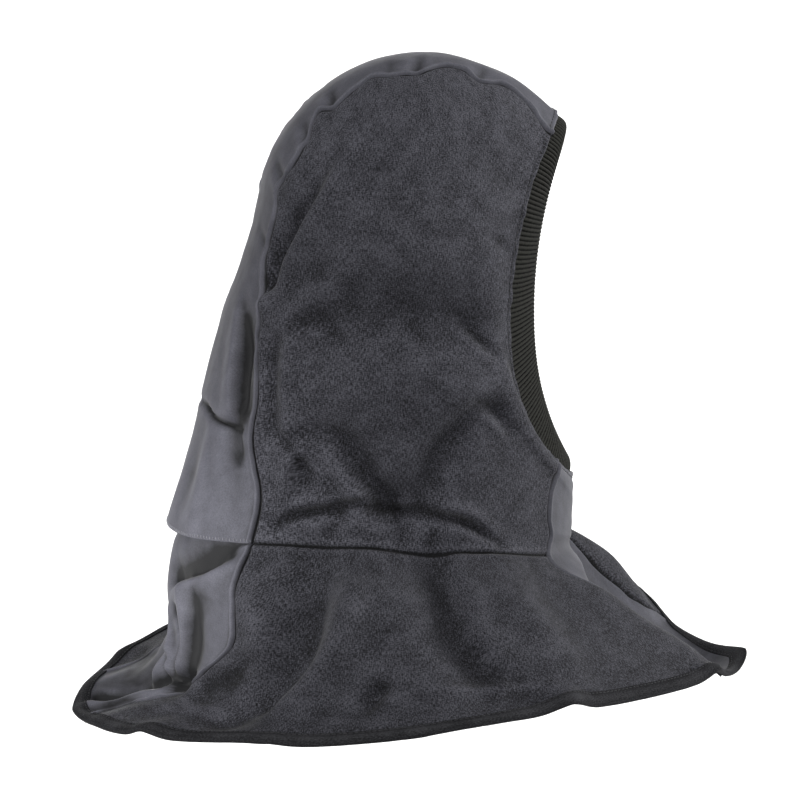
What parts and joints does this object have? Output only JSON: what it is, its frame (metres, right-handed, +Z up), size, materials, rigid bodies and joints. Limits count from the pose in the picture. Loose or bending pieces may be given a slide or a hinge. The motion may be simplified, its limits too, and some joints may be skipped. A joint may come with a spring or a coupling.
{
  "type": "welding hood",
  "caption": "Cloth welding hood with a ribbed face cuff, a crown band that ends in a nape flap, and a flared shoulder cape with a bound hem.",
  "frame": {"origin": "inside of the crown band, at the top, where the hood rests on the wearer's head", "axes": "+Z up, -Y out of the face opening, -X towards the wearer's right"},
  "size_m": [0.4017, 0.476, 0.4449],
  "materials": {
    "charcoal_canvas": "matt woven canvas, charcoal heather",
    "grey_twill": "smooth twill, mid grey",
    "rib_knit": "matt rib knit, black",
    "binding_jersey": "matt jersey tape, dark charcoal"
  },
  "bodies": {
    "root": {"crown_band": "grey_twill", "side_panel_right": "charcoal_canvas", "side_panel_left": "charcoal_canvas", "front_panel": "grey_twill", "back_panel": "grey_twill", "cape_right": "charcoal_canvas", "cape_left": "charcoal_canvas", "face_cuff": "rib_knit", "hem_binding": "binding_jersey"}
  },
  "joints": []
}
